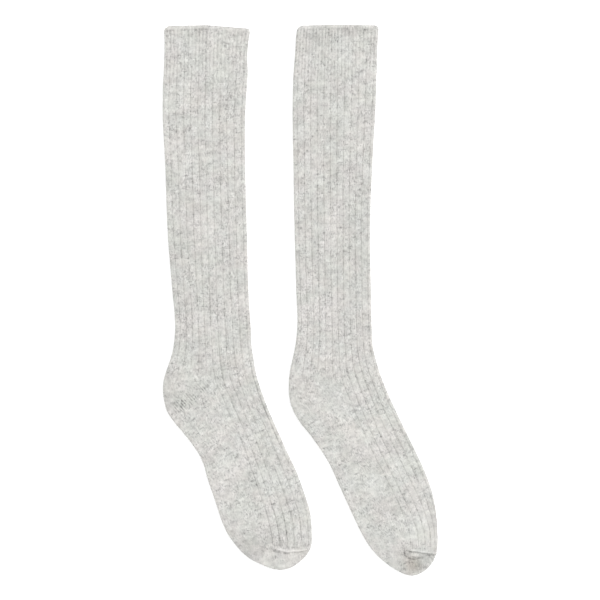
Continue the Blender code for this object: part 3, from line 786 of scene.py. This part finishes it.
def quarter_numbers(form, quarter, offsets):
    """Numbers of the wale and of the course at each point, and of the course below the mitre.

    The courses run across the tube. In the heel, the upper wedge counts on from the leg and the
    lower wedge counts back from the foot, and the two meet at the mitre.
    """
    heel_top, mitre, heel_end = (form.at(name) for name in ("heel_top", "mitre", "heel_end"))
    row = np.arange(len(form.places))[:, None]
    mean = form.travel / COURSE
    mid = travel_along(form.mid) / COURSE
    heel_count = mid[heel_end] - mid[heel_top]
    onward = quarter.side * (1 if quarter.half == "front" else -1)
    wale = first_wale(quarter) + WALES_PER_RIB * offsets * onward
    own = mix(mid, travel_along(quarter.edge) / COURSE, offsets / quarter.ribs)
    own = own - own[heel_top]
    if quarter.half == "front":
        own = own * heel_count / own[heel_end]
    upper = mean[heel_top] + own
    lower = mean[heel_top] + heel_count - own[heel_end] + own
    foot = mean[heel_top] + heel_count + mean - mean[heel_end]
    courses = []
    for in_upper in (row <= mitre, row < mitre):
        heel = np.where(in_upper, upper, lower)
        heel = np.where(row <= heel_end, heel, foot)
        courses.append(np.where(row <= heel_top, mean, heel))
    return np.dstack([wale] + courses)


def first_wale(quarter):
    """Number of the wale in the middle of the upper or the lower layer."""
    return 0.0 if quarter.side == 1 else WALES_PER_RIB * TUBE_RIBS / 2


def middle_numbers(form, quarter):
    middle = quarter_numbers(form, quarter, form.offsets(quarter)[:, :1])
    middle[:, :, 0] = first_wale(quarter)
    return middle


def stitch_numbers(form):
    """The numbers all round, with the first column once more to close the ring."""
    numbers = ring_of(form, quarter_numbers, middle_numbers)
    closing = numbers[:, :1].copy()
    closing[:, :, 0] += WALES_PER_RIB * TUBE_RIBS
    return np.hstack([numbers, closing])


def toe_wales(form, outer, wale):
    """Wales of the toe pouch: straight on from the seam's row, instead of all to the tip."""
    seam = form.at("seam")
    across = outer[:, :, :2] @ unit(form.front[seam] - form.back[seam])
    across = np.hstack([across, across[:, :1]])
    upper = sum(form.offsets(quarter).shape[1] for quarter in form.quarters()[:2]) + 1
    straight = wale.copy()
    for columns, side in ((slice(0, upper), 1), (slice(upper, None), -1)):
        for row in range(seam + 1, len(wale)):
            straight[row, columns] = np.interp(
                side * across[row, columns], side * across[seam, columns], wale[seam, columns])
    turned = smooth_step(0.0, 1.0, form.places - ROW_NAMES.index("seam"))
    return mix(wale, straight, turned)


def unrolled(form, wale, below):
    """Places on the baking map: the tube laid out flat in two blocks, side by side.

    The row between the blocks ends the first one, or starts the second where below is true.
    """
    around = (wale / WALES_PER_RIB + form.sock.back_ribs) / TUBE_RIBS
    share = form.travel / form.travel[-1]
    row = np.arange(len(share))[:, None]
    split = int(np.argmin(np.abs(share - 0.5)))
    second = (row > split) | ((row == split) & below)
    run = np.where(second, (share - share[split]) / (1.0 - share[split]), share / share[split])
    return np.dstack([0.01 + 0.5 * second + 0.48 * around, 0.98 - 0.84 * run + 0.0 * around])


def unrolled_inside(form, wale):
    """The same for the inner skin: a strip below the blocks."""
    around = (wale / WALES_PER_RIB + form.sock.back_ribs) / TUBE_RIBS
    share = form.travel / form.travel[-1]
    return np.dstack([0.01 + 0.98 * around, 0.1 - 0.08 * share + 0.0 * around])


def new_object(name, data):
    thing = bpy.data.objects.new(name, data)
    bpy.context.scene.collection.objects.link(thing)
    return thing


def new_mesh(name, points, faces, maps):
    """A mesh, from points in metres, faces and the places of their corners on maps."""
    mesh = bpy.data.meshes.new(name)
    mesh.from_pydata(points.tolist(), [], faces)
    for map_name, places in maps.items():
        layer = mesh.uv_layers.new(name=map_name)
        layer.data.foreach_set("uv", places.astype(np.float32).ravel())
    return mesh


class Shell:
    """Rings of points, the faces between them, and two maps at the faces' corners.

    A point is its place, its painted shade and its fashioning mark. A corner is its wale, its course and
    its place on the baking map.
    """

    def __init__(self):
        self.points = []
        self.faces = []
        self.corners = []
        self.count = 0

    def add(self, points):
        points = np.reshape(points, (-1, 5))
        first = self.count
        self.points.append(points)
        self.count += len(points)
        return np.arange(first, self.count)

    def put(self, faces, corners):
        self.faces += np.stack(faces, axis=1).tolist()
        self.corners.append(np.stack(corners, axis=1).reshape(-1, 4))

    def join(self, upper, lower, upper_corners, lower_corners):
        self.put((upper, lower, np.roll(lower, -1), np.roll(upper, -1)),
                 (upper_corners[:-1], lower_corners[:-1], lower_corners[1:], upper_corners[1:]))

    def close(self, ring, tip, corners):
        self.put((ring, np.full_like(ring, tip), np.roll(ring, -1)),
                 (corners[:-1], corners[:-1] + (0.0, 1.0, 0.0, -MAP_STEP), corners[1:]))

    def finish(self, name, shift):
        points = np.concatenate(self.points)
        corners = np.concatenate(self.corners)
        maps = {STITCH_MAP: corners[:, :2], BAKE_MAP: corners[:, 2:]}
        mesh = new_mesh(name, (points[:, :3] + shift) * MM, self.faces, maps)
        for column, map_name in ((3, SHADE_MAP), (4, MARK_MAP)):
            values = mesh.attributes.new(map_name, "FLOAT", "POINT")
            values.data.foreach_set("value", points[:, column].astype(np.float32))
        mesh.shade_smooth()
        return new_object(name, mesh)


def lip_rings(outer, inner, outward):
    """Rings that round the welt over, from the outer skin's first ring to the inner skin's."""
    centre = (outer + inner) / 2
    bulge = np.array([outward[0], outward[1], 0.0, 0.0, 0.0]) * WALL * 0.5
    return [centre + (outer - centre) * math.cos(angle) + bulge * math.sin(angle)
            for angle in map(math.radians, LIP_ANGLES)]


def tip_rings(last, tip):
    """Rings that close the toe in an arc, from the outer skin's last ring to its tip."""
    rings = []
    for share in TIP_SHARES:
        ring = tip + (last - tip) * (1.0 - share)
        ring[:, 2] = tip[2] + (last[:, 2] - tip[2]) * math.sqrt(1.0 - share * share)
        rings.append(ring)
    return rings


def build_knit(form, outer, shift):
    """The knitted shell: outer skin, tip, inner skin, and the lip that joins the two at the welt."""
    sock = form.sock
    inner = ring_of(form, inner_points, inner_middle)
    numbers = stitch_numbers(form)
    wale = numbers[:, :, 0].copy()
    numbers[:, :, 0] = toe_wales(form, outer, wale)
    above, below, inside = (
        np.dstack([numbers[:, :, (0, course)], places])
        for course, places in ((1, unrolled(form, wale, False)), (2, unrolled(form, wale, True)),
                               (1, unrolled_inside(form, wale)))
    )
    shell = Shell()

    rings = [shell.add(points) for points in outer]
    for index in range(len(rings) - 1):
        shell.join(rings[index], rings[index + 1], below[index], above[index + 1])
    tip_height = WALL + form.gap[-1, 0] / 2
    tip_point = np.array([sock.tip_x, sock.tip_y, tip_height, 0.0, 0.0])
    last = rings[-1]
    corners = below[-1]
    for points in tip_rings(outer[-1], tip_point):
        ring = shell.add(points)
        beyond = corners + (0.0, 1.0, 0.0, -MAP_STEP)
        shell.join(last, ring, corners, beyond)
        last, corners = ring, beyond
    shell.close(last, shell.add(tip_point)[0], corners)

    end = form.at(INNER_END_ROW)
    kept = list(range(0, end, INNER_ROW_STEP)) + [end]
    inner_rings = [shell.add(inner[index]) for index in kept]
    for index, (upper, lower) in enumerate(zip(inner_rings, inner_rings[1:])):
        shell.join(lower, upper, inside[kept[index + 1]], inside[kept[index]])
    hollow_end = shell.add(inner[end + 4].mean(axis=0))[0]
    shell.close(inner_rings[-1][::-1], hollow_end, inside[end][::-1])

    last = rings[0]
    corners = above[0]
    step = (0.0, -0.5, 0.0, MAP_STEP)
    for points in lip_rings(outer[0], inner[0], -headings(form.mid)[0]):
        ring = shell.add(points)
        shell.join(ring, last, corners + step, corners)
        last, corners = ring, corners + step
    shell.join(inner_rings[0], last, corners + step, corners)
    return shell.finish(sock.name, shift)


def build_fuzz(form, outer, shift):
    """Loose fibres over the upper side and the folded edges, each a fine spike of four faces."""
    rng = np.random.default_rng(form.sock.seed + 20)
    skin = outer[:, :, :3]
    down = np.gradient(skin, axis=0)
    around = (np.roll(skin, -1, axis=1) - np.roll(skin, 1, axis=1)) / 2
    normals = np.cross(down, around)
    areas = np.linalg.norm(normals, axis=2)
    steepness = normals[:, :, 2] / areas
    chances = areas * (1.0 + FUZZ_EDGES * (1.0 - np.abs(steepness)) ** 2) * (steepness > FUZZ_LOWEST)
    sites = rng.choice(chances.size, FUZZ_COUNT, p=chances.ravel() / chances.sum())

    normals, down, around, root = (
        values.reshape(-1, 3)[sites] for values in (normals, down, around, skin))
    normal = unit(normals)
    root = root + down * rng.uniform(-0.5, 0.5, (FUZZ_COUNT, 1))
    root = root + around * rng.uniform(-0.5, 0.5, (FUZZ_COUNT, 1)) - FUZZ_ROOT * normal
    turn = rng.uniform(0.0, 2 * math.pi, (FUZZ_COUNT, 1))
    side = unit(np.cross(normal, down))
    lying = side * np.cos(turn) + np.cross(normal, side) * np.sin(turn)
    rise = rng.uniform(*FUZZ_RISES, (FUZZ_COUNT, 1))
    length = rng.uniform(*FUZZ_LENGTHS, (FUZZ_COUNT, 1))
    course = normal * rise + lying * np.sqrt(1.0 - rise * rise)
    first = unit(np.cross(course, normal))
    second = np.cross(course, first)
    corners = [root + FUZZ_WIDTH * (first * math.cos(angle) + second * math.sin(angle))
               for angle in (0.0, 2 * math.pi / 3, 4 * math.pi / 3)]
    points = np.stack(corners + [root + length * course], axis=1)
    points[:, :, 2] = np.maximum(points[:, :, 2], FUZZ_FLOOR)

    starts = 4 * np.arange(FUZZ_COUNT)[:, None, None]
    faces = starts + np.array([(0, 1, 3), (1, 2, 3), (2, 0, 3), (0, 2, 1)])
    mesh = new_mesh(form.sock.fuzz, (points.reshape(-1, 3) + shift) * MM,
                    faces.reshape(-1, 3).tolist(), {BAKE_MAP: fuzz_places()})
    return new_object(form.sock.fuzz, mesh)


def fuzz_places():
    """Places on the fibres' baking map: a grid of squares, each cut in four for one fibre's faces."""
    across = math.ceil(math.sqrt(FUZZ_COUNT))
    number = np.arange(FUZZ_COUNT)
    square = np.array([(0.1, 0.1), (0.9, 0.1), (0.9, 0.9), (0.1, 0.9)])
    faces = np.stack([square, np.roll(square, -1, axis=0), np.full_like(square, 0.5)], axis=1)
    cells = np.stack([number % across, number // across], axis=1)[:, None, None, :]
    return (cells + faces) / across


class Value:
    """An output of a material's node. Sums and products of it add further nodes."""

    def __init__(self, graph, socket):
        self.graph = graph
        self.socket = socket

    def __add__(self, other):
        return self.graph.math("ADD", self, other)

    def __sub__(self, other):
        return self.graph.math("SUBTRACT", self, other)

    def __mul__(self, other):
        return self.graph.math("MULTIPLY", self, other)

    __radd__ = __add__
    __rmul__ = __mul__


class Graph:
    """A new material, with short ways to add its nodes and wire them."""

    def __init__(self, name):
        self.material = bpy.data.materials.new(name)
        self.material.use_nodes = True
        self.tree = self.material.node_tree

    def put(self, value, socket):
        if isinstance(value, Value):
            self.tree.links.new(value.socket, socket)
        else:
            socket.default_value = value

    def add(self, kind, inputs=(), output=0, **settings):
        """Adds a node. Its inputs are given in order, or by their names or numbers."""
        node = self.tree.nodes.new(kind)
        for name, value in settings.items():
            setattr(node, name, value)
        for key, value in inputs.items() if isinstance(inputs, dict) else enumerate(inputs):
            self.put(value, node.inputs[key])
        return Value(self, node.outputs[output])

    def math(self, operation, *values):
        return self.add("ShaderNodeMath", values, operation=operation)

    def combine(self, *values):
        return self.add("ShaderNodeCombineXYZ", values)

    def split(self, vector):
        """X and Y of a vector."""
        node = self.add("ShaderNodeSeparateXYZ", (vector,)).socket.node
        return Value(self, node.outputs[0]), Value(self, node.outputs[1])

    def map(self, name):
        return self.add("ShaderNodeAttribute", output="Fac", attribute_name=name)

    def ramp(self, value, low, high, start, end):
        """Goes smoothly from start, where value is low or less, to end, where it is high or more."""
        return self.add("ShaderNodeMapRange", (value, low, high, start, end),
                        interpolation_type="SMOOTHSTEP")

    def swing(self, value, strength):
        """Noise around 0.5 turned into a change from -strength to strength."""
        return (value - 0.5) * (2.0 * strength)

    def noise(self, name, place):
        """Cloudy noise around 0.5, with the swing or the ramp that NOISES gives it."""
        kind = NOISES[name]
        value = self.add("ShaderNodeTexNoise", {"Vector": place, "Scale": kind.scale,
                                                "Detail": kind.detail,
                                                "Roughness": kind.roughness}, "Fac")
        if kind.swing:
            return self.swing(value, kind.swing)
        return self.ramp(value, *kind.ramp) if kind.ramp else value

    def blend(self, share, first, second):
        return self.add("ShaderNodeMix", {0: share, 6: first, 7: second}, 2, data_type="RGBA")

    def shade(self, inputs):
        """Fills the shader's sockets and hands the material over."""
        for name, value in inputs.items():
            self.put(value, self.tree.nodes["Principled BSDF"].inputs[name])
        return self.material


def stitch_height(graph, wale, course):
    """Plain knit: two slanting strands in each wale, side by side in a V, row above row."""
    across = graph.math("FRACT", wale + 0.5)
    from_middle = graph.math("ABSOLUTE", across - 0.5) * 2.0
    strand = graph.math("POWER", graph.math("SINE", from_middle * math.pi), 0.6)
    slant = graph.math("FRACT", course - from_middle * STITCH_SLANT)
    row = graph.math("POWER", graph.math("SINE", slant * math.pi), 0.7)
    return strand * (0.35 + row * 0.65)


def mark_lines(graph, place, uneven):
    """Slanting lines, MARK_PITCH apart, dark where this is above zero."""
    down = (math.sin(MARK_SLOPE), math.cos(MARK_SLOPE), 0.0)
    across = graph.add("ShaderNodeVectorMath", (place, down), "Value", operation="DOT_PRODUCT")
    wave = graph.math("SINE", across * (2 * math.pi / MARK_PITCH) + uneven * 4.0)
    return graph.math("MULTIPLY_ADD", wave, 0.6, 0.45) * graph.noise("blots", place)


def cashmere_material():
    """Brushed melange knit: V stitches under a nap, in yarn spun from lighter and darker fibres, with painted
    shade and highlights from the shade map in its colour.
    """
    graph = Graph("cashmere_knit_fine")
    place = graph.add("ShaderNodeTexCoord", output="Object")
    wale, course = graph.split(graph.add("ShaderNodeUVMap", uv_map=STITCH_MAP))
    uneven = graph.noise("uneven", place)
    wale = wale + uneven * 0.5
    course = course + uneven

    def on_stitches(name):
        across, up = STRETCHES[name]
        return graph.noise(name, graph.combine(wale * across, course * up))

    # The yarn's grain is strong in some places and smooth in others, and weaker where a highlight is painted.
    wave = graph.math("ABSOLUTE", graph.noise("wisps", place) - 0.5)
    wisps = graph.ramp(wave, 0.0, WISP_WIDTH, -WISP_TONE, 0.0) * graph.noise("wisp gate", place)
    grain = (graph.noise("fibres", place) + on_stitches("yarn") + graph.noise("specks", place)
             + on_stitches("dashes") + wisps)
    grain = grain * graph.noise("busy", place)
    softer = graph.math("MULTIPLY_ADD", grain, 1.0 - SOFTENING, SOFTENING * BRIGHT_GRAIN)
    shade = graph.map(SHADE_MAP)
    grain = graph.math("MINIMUM", grain, softer) * graph.ramp(shade, -0.9, -0.1, 0.35, 1.0)

    knit = stitch_height(graph, wale, course)
    melange = graph.noise("melange", place)
    marks = graph.map(MARK_MAP) * mark_lines(graph, place, uneven)
    # The tone darkens with painted shade in stitch gaps, furrows, dips, creases, welt notches and patches, and
    # lightens with painted highlights on ridges, seam and welt bead.
    tone = (
        1.0
        + grain
        + graph.swing(melange, MELANGE_TONE)
        + graph.noise("patches", place)
        + (knit - 0.6) * STITCH_GAP_SHADE
        + shade * on_stitches("broken") * -SHADE_TONE
        + marks * -MARK_TONE
    )
    tint = graph.blend(graph.noise("warmth", place), COOL_COLOR, WARM_COLOR)
    reach = graph.add("ShaderNodeVectorMath", (place, BROWN_TOE_PLACE), "Value", operation="DISTANCE")
    brown = graph.ramp(reach, 0.0, BROWN_TOE_SIZE, BROWN_TONE, 0.0)
    blueness = graph.noise("blue", place) - brown
    tones = graph.combine(graph.math("MULTIPLY_ADD", tone, brown, tone), tone,
                          graph.math("MULTIPLY_ADD", tone, blueness, tone))
    height = knit * STITCH_HEIGHT + graph.noise("nap", place) * NAP_HEIGHT + melange * NAP_HEIGHT
    return graph.shade({
        "Base Color": graph.add("ShaderNodeVectorMath", (tint, tones), operation="MULTIPLY"),
        "Normal": graph.add("ShaderNodeBump", {"Height": height, "Distance": 1.0, "Strength": 1.0}),
        "Roughness": 0.95,
        "Specular IOR Level": 0.2,
        "Sheen Weight": 0.25,
        "Sheen Roughness": 0.6,
    })


def fibre_material():
    graph = Graph("cashmere_fibre")
    place = graph.add("ShaderNodeTexCoord", output="Object")
    tint = graph.blend(graph.noise("fuzz", place), FUZZ_DARK, FUZZ_LIGHT)
    return graph.shade({"Base Color": tint, "Roughness": 0.7, "Specular IOR Level": 0.3})


def floor_material():
    return Graph("white_floor").shade({
        "Base Color": (0.92, 0.92, 0.92, 1.0),
        "Roughness": 1.0,
        "Specular IOR Level": 0.0,
        "Emission Color": (1.0, 1.0, 1.0, 1.0),
        "Emission Strength": FLOOR_GLOW,
    })


def add_floor():
    corners = np.array([(-1, -1, 0), (1, -1, 0), (1, 1, 0), (-1, 1, 0)]) * FLOOR_SIZE / 2
    mesh = new_mesh("floor", corners, [(0, 1, 2, 3)], {})
    mesh.materials.append(floor_material())
    floor = new_object("floor", mesh)
    floor.location.z = -FLOOR_DROP
    return floor


def add_light(name, place, size, power):
    light = bpy.data.lights.new(name, "AREA")
    light.shape = "DISK"
    light.size = size
    light.energy = power
    lamp = new_object(name, light)
    lamp.location = place
    lamp.rotation_mode = "QUATERNION"
    lamp.rotation_quaternion = (-Vector(place)).to_track_quat("-Z", "Y")


def add_surroundings():
    world = bpy.data.worlds.new("studio")
    world.use_nodes = True
    background = world.node_tree.nodes["Background"]
    background.inputs["Color"].default_value = (1.0, 1.0, 1.0, 1.0)
    background.inputs["Strength"].default_value = WORLD_STRENGTH
    bpy.context.scene.world = world
    bpy.context.scene.view_settings.view_transform = "Standard"


def add_camera(shift):
    data = bpy.data.cameras.new("camera")
    data.lens = CAMERA_LENS
    data.sensor_width = CAMERA_SENSOR
    camera = new_object("camera", data)
    distance = PHOTO_WIDTH * CAMERA_LENS / CAMERA_SENSOR + SOCK_TOP
    camera.location = Vector((shift[0], PHOTO_CENTRE_Y + shift[1], distance)) * MM
    bpy.context.scene.camera = camera


def table_shift():
    """From the tables' axes to the frame's, in millimetres: the right toe's tip is its lowest y."""
    right = SOCKS[1]
    return np.array([0.0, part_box(right.node)[0].y / MM - right.tip_y, 0.0])


def cloth_size(form):
    """Width all round and length of the tube that the sock is knitted as, in metres."""
    widths = np.linalg.norm(form.front - form.back, axis=1)
    return 2 * widths[form.at("cuff_mid")] * MM, float(form.travel[-1, 0]) * MM


def corners(box):
    return [list(corner) for corner in box]


def main():
    shift = table_shift()
    add_camera(shift)
    add_surroundings()
    for name, place, size, power in LIGHTS:
        add_light(name, place, size, power)
    floor = add_floor()
    materials = (cashmere_material(), fibre_material())
    for sock in SOCKS:
        form = Form(sock)
        outer = press(form, ring_of(form, outer_points, middle_furrow))
        knit = build_knit(form, outer, shift)
        fuzz = build_fuzz(form, outer, shift)
        for piece, material in zip((knit, fuzz), materials):
            piece.data.materials.append(material)
            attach(piece, "root")
        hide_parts(sock.node)
        cloth_size(form)
    bpy.context.view_layer.update()


main()
